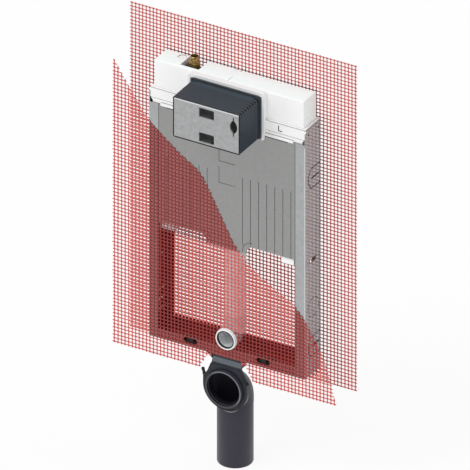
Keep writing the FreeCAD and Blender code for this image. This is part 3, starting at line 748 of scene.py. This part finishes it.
def boxShell():
    # A rounded rectangle swept to the rear and back inside the wall, its corners bitten at each notch,
    # and a ledge round inside for the cover
    b = serviceBox
    front, rear, edge, wall = b["front"], b["rear"], b["edge"], b["wall"]
    half, bite = b["notchWidth"] / 2, b["notchDepth"]
    stations = [(front, -edge, 0), (front + edge, 0, 0)]
    for y in front + b["notchStart"] + b["notchPitch"] * np.arange(b["notches"]):
        near = half * 0.4
        stations += [(y - half, 0, 0), (y - near, 0, bite), (y + near, 0, bite), (y + half, 0, 0)]
    stations += [(rear - edge, 0, 0), (rear, -edge, 0), (rear, edge - wall, 0), (rear - edge, -wall, 0),
                 (front + edge, -wall, 0), (front, edge - wall, 0)]
    outer = roundRect(b["half"], b["low"], b["high"], b["corner"], 7)
    inner = roundRect(b["half"] - wall, b["low"] + wall, b["high"] - wall, 3.0)
    floor, deep = front + wall, -b["ledge"]
    ledge = [(floor, 0.4, 0), (floor + wall, 0.4, 0), (floor + wall, deep, 0), (floor, deep, 0)]
    return [sweepRect(outer, stations), sweepRect(inner, ledge)]


def boxLip():
    # A half round bead over the collar's edge, with a channel between it and the box
    b = serviceBox
    r, inner = b["bead"], b["lipRoot"]
    turn = np.linspace(0, math.pi, 9)
    bead = np.stack([b["beadFront"] + r * (1 - np.sin(turn)), r * np.cos(turn), 0 * turn], -1)
    rear = [(0, 0, 0), (b["beadRear"], 0, 0), (b["beadRear"], r, 0)]
    channel = [(-b["lip"], -r, 0), (-b["lip"], inner, 0), (0, inner, 0)]
    rect = roundRect(b["lipHalf"], b["lipLow"], b["lipHigh"], b["lipCorner"], 10, b["lipMiddle"])
    return [sweepRect(rect, np.concatenate([rear, bead, channel]))]


def coverPockets():
    # The outlines of the grips and the eye, drawn in step by step towards a closed floor
    c = cover
    deep, behind = c["depth"], c["depth"] + c["skin"]
    tray = [(deep, 0), (deep, 0.72), (deep - 1.5, 0.80), (0, 1.0), (0, 1.04), (deep, 0.84), (behind, 0.76),
            (behind, 0)]
    stations = [(c["front"] + depth, scale) for depth, scale in tray]
    half = c["width"] / 2
    trays = []
    for low in c["lows"]:
        rect = roundRect(half, low, low + c["height"], c["corner"], 5, c["left"] + half)
        trays.append(cup(rect[0] + rect[2] * rect[1], stations))
    # The eye's half width at the height h is that of two arcs, R^2 = h^2 + (half + R - eyeHalf)^2,
    # or the slot's where that is wider
    radius = (c["eyeUp"] ** 2 + c["eyeHalf"] ** 2) / (2 * c["eyeHalf"])
    rise = np.linspace(-c["slotUp"], c["slotUp"], 54)
    arc = np.sqrt(np.maximum(radius ** 2 - rise ** 2, 0)) + c["eyeHalf"] - radius
    half = np.maximum(arc, c["slotHalf"])
    right, left = (np.stack([c["eyeX"] + way * half, c["eyeZ"] + rise], -1) for way in (1, -1))
    return trays + [cup(np.concatenate([right, left[::-1]]), stations)]


boxPlastic()
plastic("lip_plastic", tone(66, 69, 73), tone(58, 61, 65), 0.38, 0.8, 0.03, 0.3)
coverPlastic()
pocketPlastic()
addPiece("service_box_shell", boxShell(), "box_plastic", ["service_box"], sharp=25)
addPiece("service_box_lip", boxLip(), "lip_plastic")
softened("service_box_cover", 0.8, "cover_plastic")
addPiece("service_cover_pockets", coverPockets(), "pocket_plastic")
print("service box dressed")

valve = {"x": -117.0, "y": 45.0, "low": 735.0, "bore": 8.5, "neck": 10.2, "wide": 14.5,
         "shoulder": 752.0, "brow": 757.0, "top": 775.0}


def brassMetal():
    # Brown in patches and down the bore, with turning marks
    finish = Finish("brass", {"Metallic": 1.0})
    x, y, z = finish.axes()
    bore = distance(x - valve["x"], y - valve["y"]).below(valve["bore"] + 0.5, 0.2)
    tarnish = finish.noise(7.0, 4.0).rise(0.35, 0.7).over(bore * z.below(valve["top"] - 0.4, 0.6))
    finish.set({"Base Color": finish.blend(tarnish, tone(164, 142, 90), tone(104, 80, 44)),
                "Roughness": tarnish * 0.16 + 0.24})
    finish.bump(finish.noise(3.0, 2.0, finish.stretched((0.3, 0.3, 3.0))), 0.03)


def valveTail():
    # A profile of radii and heights, turned about z
    x, y, low, bore, neck, wide, shoulder, brow, top = valve.values()
    profile = [(bore, low), (neck, low), (neck, shoulder), (wide - 0.6, shoulder), (wide, shoulder + 0.8),
               (wide, brow - 1), (wide - 0.5, brow), (neck + 1.6, brow + 8), (neck + 0.3, top - 7),
               (neck, top - 4), (neck, top - 0.8), (neck - 0.8, top), (bore + 0.5, top), (bore, top - 0.6)]
    return lathe(profile, (x, y, 0), (0, 0, 1), 48)


brassMetal()
softened("stop_valve_body", 2.0)
softened("union_nut", 0.9)
addPiece("valve_tail_turned", [valveTail()], "brass", ["valve_tail"], sharp=40)
print("water connection dressed")

flush = {
    "z": 35.0, "pipeY": 41.0, "turn": 30.0, "top": 90.0, "outer": 28.5, "waterway": 21.5, "bore": 22.0,
    "boreLength": 11.0,
    "ringOuter": 29.2, "ringMouth": 27.3, "ringInner": 24.2, "ringFront": -8.4, "ringBack": -2.4,
    "sealOuter": 24.0, "sealInner": 21.3, "sealFront": -7.6, "sealBack": -2.8,
    "sleeveOuter": 26.6, "sleeveTop": 312.0,
}


def flushTube():
    # Out along the outer radius over a level run, a quarter turn and an upright run, and back inside
    f = flush
    arc = f["turn"] * math.pi / 2
    level = f["pipeY"] - f["turn"]
    length = level + arc + f["top"] - f["z"] - f["turn"]
    run = np.concatenate([[0.0, level], level + np.linspace(0, arc, 15)[1:], [length]])
    outer = np.stack([run, np.full(len(run), f["outer"])], -1)
    inner = np.stack([run[:0:-1], np.full(len(run) - 1, f["waterway"])], -1)
    mouth = [(f["boreLength"], f["bore"]), (0.6, f["bore"]), (0.0, f["bore"] + 0.6)]
    return bentTube(np.concatenate([outer, inner, mouth]), 0.0, f["z"], f["pipeY"], f["turn"], 1)


def flushRing():
    # A tapered ring with rounded corners, turned about y
    f = flush
    front, outer, inner = f["ringFront"], f["ringOuter"], f["ringInner"]
    corners = [(inner, front), (f["ringMouth"], front), (outer, f["ringBack"]), (outer, 0), (inner, 0)]
    return lathe(roundedLoop(corners, 0.9, 4), (0, 0, f["z"]), (0, 1, 0), 96)


def flushSeal():
    # A profile turned about y
    f = flush
    front, back, inner, outer = f["sealFront"], f["sealBack"], f["sealInner"], f["sealOuter"]
    profile = [(inner, front), (outer - 0.5, front), (outer, front + 0.5), (outer, back), (inner, back)]
    return lathe(profile, (0, 0, f["z"]), (0, 1, 0), 96)


def foamSleeve():
    # A wall with rounded edges, turned about z
    f = flush
    inner, outer, low, high = f["bore"], f["sleeveOuter"], f["top"], f["sleeveTop"]
    profile = roundedLoop([(inner, low), (outer, low), (outer, high), (inner, high)], 0.8, 3)
    return lathe(profile, (0, f["pipeY"], 0), (0, 0, 1), 64)


plastic("bend_plastic", tone(228, 230, 232), tone(214, 217, 220), 0.36)
addPiece("flush_bend_tube", [flushTube()], "bend_plastic", ["flush_bend"])
addPiece("flush_ring", [flushRing()], "white_plastic", ["flush_outlet_ring"])
addPiece("flush_lip_seal", [flushSeal()], "rubber", ["flush_seal"])
addPiece("flush_foam_sleeve", [foamSleeve()], "white_foam", ["flush_pipe_sleeve"])
print("flush pipe dressed")

drain = {
    "z": -100.0, "pipeY": 41.0, "turn": 46.0, "front": -5.0, "start": 7.0, "outer": 45.6, "spigot": 45.0,
    "inner": 42.0, "step": -160.0, "bottom": -325.0, "chamfer": 2.0,
    "socketFront": -19.0, "socketRear": 8.0, "socketOuter": 51.0, "socketBore": 45.4, "boreEnd": 1.0,
    "seat": 42.1, "groove": 49.0, "grooveFront": -14.0, "grooveRear": -8.0, "edge": 1.0,
    "rimHighlight": 48.2,  # radius of the painted highlight on the rim
}
hood = {"low": -37.0, "high": -24.6, "front": 2.6, "clipTop": -150.0, "clipFront": -5.0}


def drainPlastic():
    # Paler on the socket's rim, with a painted highlight along it, and painted shade down its throat
    finish = Finish("drain_plastic", {"Specular IOR Level": 0.25})
    front = drain["socketFront"]
    x, y, z = finish.axes()
    far = distance(x, z - drain["z"])
    throat = far.below(drain["socketBore"] + 0.5, 0.3) * y.rise(front + 0.6, front + 2.0)
    rim = y.below(front + 0.8, 0.4)
    rimHighlight = rim * far.band(drain["rimHighlight"], 0.5, 0.7) * (x + (z - drain["z"])).rise(-10.0, 30.0)
    body = finish.blend(finish.noise(14.0, 3.0), tone(50, 49, 60), tone(55, 54, 66))
    body = finish.blend(rimHighlight, finish.blend(rim, body, tone(68, 66, 74)), tone(136, 136, 146))
    finish.skin(finish.blend(throat * y.below(6.0, 3.0), body, tone(20, 20, 26)), 0.40, 1.0, 0.02)


def holderPlastic():
    # The sloping hood under the rail is paler than the ring, and the clip's foot is painted dark, as shade
    # under the socket
    finish = Finish("holder_plastic", {"Specular IOR Level": 0.3})
    x, y, z = finish.axes()
    pale = z.rise(hood["low"], hood["low"] + 0.8) * z.below(hood["high"], 0.4) * y.below(hood["front"], 0.4)
    # Painted shade under the socket
    dark = z.below(hood["clipTop"], 2.0) * y.below(hood["clipFront"], 0.5)
    body = finish.blend(finish.noise(14.0, 3.0), tone(27, 31, 38), tone(34, 39, 47))
    body = finish.blend(dark, body, tone(8, 8, 11))
    finish.skin(finish.blend(pale, body, tone(92, 99, 106)), 0.36, 0.8, 0.03)


def drainTube():
    # Down along the outer radius, through the bend and the spigot, and back up inside
    d = drain
    arc = d["turn"] * math.pi / 2
    step, end = (arc + d["z"] - d["turn"] - z for z in (d["step"], d["bottom"]))
    turn = np.linspace(d["start"], arc, 20)
    outer = [(s, d["outer"]) for s in turn] + [(step, d["outer"]), (step + 0.6, d["spigot"]),
                                               (end - d["chamfer"], d["spigot"]),
                                               (end, d["spigot"] - d["chamfer"] / 2)]
    inner = [(end, d["inner"] + 0.5), (end - 1.0, d["inner"])] + [(s, d["inner"]) for s in turn[::-1]]
    return bentTube(outer + inner, d["front"], d["z"], d["pipeY"], d["turn"], -1)


def drainSocket():
    # Rim, outer wall, rear, seat and the seal's groove: a profile turned about y
    d = drain
    front, rear, edge = d["socketFront"], d["socketRear"], d["edge"]
    bore, outer, groove, seat = d["socketBore"], d["socketOuter"], d["groove"], d["seat"]
    profile = [(bore, front + edge), (bore + 0.3, front + 0.3), (bore + edge, front), (outer - edge, front),
               (outer - 0.3, front + 0.3), (outer, front + edge), (outer, rear - 2), (outer - 2, rear),
               (d["spigot"], rear), (seat, 3.0), (seat, d["boreEnd"]), (bore, d["boreEnd"]),
               (bore, d["grooveRear"]), (groove, d["grooveRear"]), (groove, d["grooveFront"]),
               (bore, d["grooveFront"])]
    return lathe(profile, (0, 0, d["z"]), (0, 1, 0), 96)


def drainSeal():
    # Two lips that reach past the bore, turned about y
    d = drain
    front, rear = d["grooveFront"] + 0.2, d["grooveRear"] - 0.2
    inner, outer = d["socketBore"] - 0.5, d["groove"] - 0.1
    profile = [(outer, front), (outer, rear), (inner + 1.6, rear), (inner, rear - 1.8),
               (inner + 1.2, (front + rear) / 2), (inner, front + 1.8), (inner + 1.6, front)]
    return lathe(profile, (0, 0, d["z"]), (0, 1, 0), 96)


tab = {"radius": 61.7, "proud": 4.2, "from": -96.0, "to": -54.0, "front": -11.0, "depth": 5.0}


def gripTab():
    # Ring point v on the arc at angle u: the section grows as sin of the way along, so both ends close
    way = np.linspace(0.02, 0.98, 33)
    u = np.radians(tab["from"] + (tab["to"] - tab["from"]) * way)
    size = np.sin(way * math.pi) ** 0.7
    v = np.arange(10) * 2 * math.pi / 10
    out = tab["radius"] + tab["proud"] * size[:, None] * (0.5 + 0.5 * np.cos(v))
    deep = tab["front"] + tab["depth"] * (0.5 + 0.5 * size[:, None] * np.sin(v))
    points = np.stack([out * np.cos(u)[:, None], deep, drain["z"] + out * np.sin(u)[:, None]], -1)
    ends = [points[k].mean(0, keepdims=True).repeat(10, 0)[None] for k in (0, -1)]
    points = np.concatenate([ends[0], points, ends[1]])
    return points.reshape(-1, 3), gridFaces(len(points), 10, False, True)


lever = {"root": (-61.4, -3.0, -79.0), "tip": (-66.6, -3.0, -61.6), "radius": 4.4}


def leverRod():
    # Tapers to four fifths of its radius, with a half ball at the tip, turned about its own line
    root, tip = np.array(lever["root"]), np.array(lever["tip"])
    length = np.linalg.norm(tip - root)
    r = lever["radius"]
    way = np.linspace(0, math.pi / 2, 7)
    cap = np.stack([r * np.cos(way), length - r + r * np.sin(way)], -1)
    profile = np.concatenate([[(0, 0), (r * 1.1, 0), (r * 0.8, length * 0.4)], cap])
    return lathe(profile, root, tip - root, 24, False)


gusset = {"corners": ((40.0, -18.6), (56.0, -18.6), (40.0, -33.0)), "front": 0.4, "rear": 3.6, "round": 1.2}


def gussets():
    # A three-cornered cheek at each top corner of the hood, closed in front and behind
    corners, front, rear, cut = gusset.values()
    deep = [(front, 0), (front, 0.94), (front + 0.5, 1), (rear, 1), (rear, 0)]
    return [cup(roundedLoop(np.array(corners) * (side, 1), cut), deep) for side in (-1, 1)]


drainPlastic()
holderPlastic()
plastic("tab_plastic", tone(134, 134, 140), tone(122, 122, 128), 0.4, 0.8, 0.03, 0.3)
addPiece("drain_pipe", [drainTube()], "drain_plastic", ["drain_bend"])
addPiece("drain_socket", [drainSocket()], "drain_plastic", sharp=40)
addPiece("drain_lip_seal", [drainSeal()], "rubber", ["drain_seal"])
softened("drain_holder", 1.2, "holder_plastic")
addPiece("holder_cheeks", gussets(), "black_plastic")
addPiece("holder_grip_tab", [gripTab()], "tab_plastic", sharp=60)
addPiece("holder_lever_rod", [leverRod()], "black_plastic", ["holder_lever"])
print("drain dressed")

net = {
    "halfWidth": 320.0, "low": -62.0, "high": 853.0, "pitch": 10.0, "columns": 64, "rows": 92,
    "corner": {"rear": (-314.25, -59.87), "front": (-316.1, -61.92)},  # the lowest crossing at the left
    "middleY": {"rear": 81.2, "front": -1.25},
    "width": 3.2, "knot": 3.8, "thickness": 0.9,
    "weave": 0.5,  # how far a strand swings at a crossing
    "waves": ((0.3, 70.0, 1.7), (0.12, 23.0, 0.9)),  # how a strand drifts: height, length, turn
    "shortest": 4.0, "sample": 0.5,
    "fray": {"rear": 0.0, "front": 1.4}, "seed": 7,
    "rear": (tone(204, 108, 104), tone(220, 126, 122), tone(154, 80, 76)),
    "front": (tone(208, 98, 94), tone(224, 116, 112), tone(160, 82, 78)),
    # painted shade on the front yarn over the steel, past the plate and before the dark window
    "onSheet": (tone(146, 73, 73), tone(158, 83, 83)),
    "pastPlate": tone(166, 64, 63),
    "inDark": (tone(134, 52, 51), tone(148, 64, 62)),
    # painted shade where the rear yarn passes the white block
    "blockShade": tone(104, 66, 70),
}
random = np.random.default_rng(net["seed"])


def shadeByBlock(finish, yarn):
    # Painted shade: a dark line on the rear mesh round the white block in front of it
    x, y, z = finish.axes()
    side, top = block["side"], block["top"]
    aside = (abs(x) - side).band(-1.5, 3.0, 1.0) * z.between(677.0, top + 1.0, 1.0)
    above = z.band(top - 3.5, 3.0, 1.0) * abs(x).below(side + 1.0, 1.0)
    return finish.blend(aside.over(above) * 0.7, yarn, net["blockShade"])


def yarnShadeOverSteel(finish, yarn, fibre):
    # Painted shade: darker where the yarn lies on the steel, and darkest before the window's foot and left
    # side
    f = frameSize
    x, y, z = finish.axes()
    window = (f["opening"] - abs(x)).rise(-1.0, 1.0) * (z - f["railTop"]).rise(-1.0, 1.0)
    window = window * (f["panelFoot"] - z).rise(-1.0, 1.0)
    openWall = (z - x * 0.022).rise(60.0, 64.0) * x.rise(-150.0, -147.0)
    foot = (x - f["half"]).over(0.0) * 0.86 - 19.0
    onSteel = (264.0 - x).rise(-1.0, 1.0) * (x + f["half"]).rise(-1.0, 1.0) * (z - foot).rise(-1.0, 1.0)
    onSheet = finish.blend(fibre, *net["onSheet"])
    onSheet = finish.blend(x.rise(f["half"] - 1.0, f["half"] + 1.0), onSheet, net["pastPlate"])
    inDark = finish.blend(fibre, *net["inDark"])
    behind = finish.blend(window, onSheet, finish.blend(openWall, inDark, yarn))
    return finish.blend(onSteel, yarn, behind)


def redStrand(side):
    # Coated glass yarn, browner where strands cross
    finish = Finish("red_mesh_" + side, {"Roughness": 0.6, "Specular IOR Level": 0.15})
    x, y, z = finish.axes()
    left, foot = net["corner"][side]
    column = ((x - left) / net["pitch"]).math("PINGPONG", 0.5)
    row = ((z - foot) / net["pitch"]).math("PINGPONG", 0.5)
    crossing = (1 - column.rise(0.1, 0.22)) * (1 - row.rise(0.1, 0.22))
    fibre = finish.noise(1.1, 3.0)
    dark, light, knot = net[side]
    yarn = finish.blend(crossing, finish.blend(fibre, dark, light), knot)
    yarn = shadeByBlock(finish, yarn) if side == "rear" else yarnShadeOverSteel(finish, yarn, fibre)
    finish.set({"Base Color": yarn})
    finish.bump(fibre, 0.12)


def cutCurve():
    # Hermite pieces through the cut points, each with the slope of its two neighbours
    p = frontCut["curve"]
    slope = np.gradient(p, axis=0)
    t = np.linspace(0, 1, 24, endpoint=False)[None, :, None]
    a, b, u, w = p[:-1, None], p[1:, None], slope[:-1, None], slope[1:, None]
    curve = ((2 * t ** 3 - 3 * t ** 2 + 1) * a + (t ** 3 - 2 * t ** 2 + t) * u
             + (3 * t ** 2 - 2 * t ** 3) * b + (t ** 3 - t ** 2) * w)
    return np.concatenate([curve.reshape(-1, 2), p[-1:]])


cutLine = cutCurve()


def insideFront(x, z):
    # Below the curve, and clear of the flush ring, the bolt slots and the drain's notch
    f = frontCut
    far = np.abs(x)
    below = z < np.interp(x, cutLine[:, 0], cutLine[:, 1], right=-999)
    ring = np.hypot(x, z - f["ringZ"]) < f["ringRadius"]
    slots = (np.abs(far - f["slotX"]) < f["slotHalf"]) & (np.abs(z) < f["slotUp"])
    spread = f["notchSpread"] * (f["notchTop"] - z) / (f["notchTop"] - f["notchLow"])
    cheek = f["cheekSlope"] * np.maximum(f["cheekOuter"] - far, 0) * (far > f["cheekInner"])
    notch = (z < f["notchTop"] - cheek) & (x > f["notchLeft"] - spread) & (x < f["notchRight"] + spread)
    return below & (z > f["bottom"]) & ~ring & ~slots & ~notch


def insideRear(x, z):
    # Within the sheet's four edges
    return (np.abs(x) <= net["halfWidth"]) & (z >= net["low"]) & (z <= net["high"])


def strand(line, width, across):
    # Station k of the line carries a flat hexagon, its width across the strand and its thickness along y
    section = np.array([(-0.5, 0), (-0.26, 0.5), (0.26, 0.5), (0.5, 0), (0.26, -0.5), (-0.26, -0.5)])
    ring = (section[:, :1] * width[:, None, None] * np.array(across, float)
            + section[:, 1:] * net["thickness"] * np.array([0, 1.0, 0]))
    points = (line[:, None] + ring).reshape(-1, 3)
    cap = np.array([(3, 2, 1, 0), (5, 4, 3, 0)])
    faces = [gridFaces(len(line), 6, False, True), cap, cap[:, ::-1] + len(points) - 6]
    return outward(points, np.concatenate(faces))


def runs(fixed, low, high, inside, upright):
    # The stretches of one strand that lie inside the outline
    step = net["sample"]
    way = np.arange(low, high + step, step)
    level = np.full_like(way, fixed)
    held = inside(level, way) if upright else inside(way, level)
    edge = np.flatnonzero(np.diff(np.concatenate([[0], held.astype(int), [0]]))).reshape(-1, 2)
    stretches = [(way[a], way[b - 1]) for a, b in edge]
    return [(start, end) for start, end in stretches if end - start > net["shortest"]]


def weave(side, inside, upright, low, high):
    # A strand's y swings to either side of the middle at each crossing, its neighbours' the other way
    left, foot = net["corner"][side]
    columnsAt = left + net["pitch"] * np.arange(net["columns"])
    rowsAt = foot + net["pitch"] * np.arange(net["rows"])
    fixedAt, crossAt = (columnsAt, rowsAt) if upright else (rowsAt, columnsAt)
    swing = net["weave"] if upright else -net["weave"]
    fray = net["fray"][side]
    parts = []
    for i, fixed in enumerate(fixedAt):
        over = swing * (-1.0) ** (i + np.arange(len(crossAt)))
        for start, end in runs(fixed, low, high, inside, upright):
            start -= fray * random.random()
            end += fray * random.random()
            knots = crossAt[(crossAt > start + 1) & (crossAt < end - 1)]
            between = (knots[1:] + knots[:-1]) / 2
            way = np.sort(np.concatenate([[start], knots, between, [end]]))
            width = np.where(np.isin(way, knots), net["knot"], net["width"])
            y = net["middleY"][side] + np.interp(way, crossAt, over)
            drift = sum(tall * np.sin(way / long + turn * i) for tall, long, turn in net["waves"])
            line = np.stack([fixed + drift, y, way] if upright else [way, y, fixed + drift], -1)
            parts.append(strand(line, width, (1, 0, 0) if upright else (0, 0, 1)))
    return parts


for side, inside in (("rear", insideRear), ("front", insideFront)):
    name, finish = side + "_mesh", "red_mesh_" + side
    redStrand(side)
    uprights = weave(side, inside, True, frontCut["bottom"], net["high"])
    crosswires = weave(side, inside, False, -net["halfWidth"], net["halfWidth"])
    for kind, strands in (("_uprights", uprights), ("_crosswires", crosswires)):
        addPiece(name + kind, strands, finish, [name], sharp=50, merge=False)
    print(name, "woven:", len(uprights), "uprights,", len(crosswires), "crosswires")

studio = {
    "floorRings": (0.0, 0.6, 3.0, 14.0),
    "floorGrey": 0.9,
    "floorGlow": 0.88,  # how far the seen floor is white by itself, so that shadows stay pale
    "skyLight": 0.78,
    "sunStrength": 1.07,
    "sunAngle": 30.0,
    "towardsSun": (-0.10, -0.18, 0.27),
}


def greyTone(level):
    return (level, level, level, 1.0)


def paleFloor():
    # Rings of radius r about the middle of the object, point u of each at r (cos u, sin u)
    u = np.arange(96) * 2 * math.pi / 96
    x, y = (np.outer(studio["floorRings"], turned(u)) for turned in (np.cos, np.sin))
    points = np.stack([x + origin[0], y, np.full_like(x, cadBounds[0].z)], -1)
    mesh = bpy.data.meshes.new("floor")
    mesh.from_pydata(points.reshape(-1, 3).tolist(), [], gridFaces(*x.shape, False, True).tolist())
    floor = bpy.data.objects.new("floor", mesh)
    link(floor)
    material = bpy.data.materials.new("floor")
    material.use_nodes = True
    tree = Tree(material.node_tree)
    diffuse = tree.node("ShaderNodeBsdfDiffuse", inputs={"Color": greyTone(studio["floorGrey"])})
    glow = tree.node("ShaderNodeEmission", inputs={"Color": greyTone(1.0), "Strength": 1.0})
    factor = tree.seenRays() * studio["floorGlow"]
    seen = tree.node("ShaderNodeMixShader", inputs={0: factor, 1: diffuse, 2: glow})
    tree.show(seen, "Material Output", "Principled BSDF")
    mesh.materials.append(material)


def whiteWorld():
    world = bpy.data.worlds.new("studio")
    world.use_nodes = True
    tree = Tree(world.node_tree)
    light, white = (tree.node("ShaderNodeBackground", inputs={"Color": greyTone(level), "Strength": 1.0})
                    for level in (studio["skyLight"], 1.0))
    both = tree.node("ShaderNodeMixShader", inputs={0: tree.seenRays(), 1: light, 2: white})
    tree.show(both, "World Output", "Background")
    bpy.context.scene.world = world


def softSun():
    lamp = bpy.data.lights.new("sun", "SUN")
    lamp.energy = studio["sunStrength"]
    lamp.angle = math.radians(studio["sunAngle"])
    sun = bpy.data.objects.new("sun", lamp)
    sun.rotation_euler = Vector(studio["towardsSun"]).to_track_quat("Z", "Y").to_euler()
    sun.location = (0, -2, 3)
    link(sun)


paleFloor()
whiteWorld()
softSun()
bpy.context.scene.view_settings.view_transform = "Standard"
print("studio set")
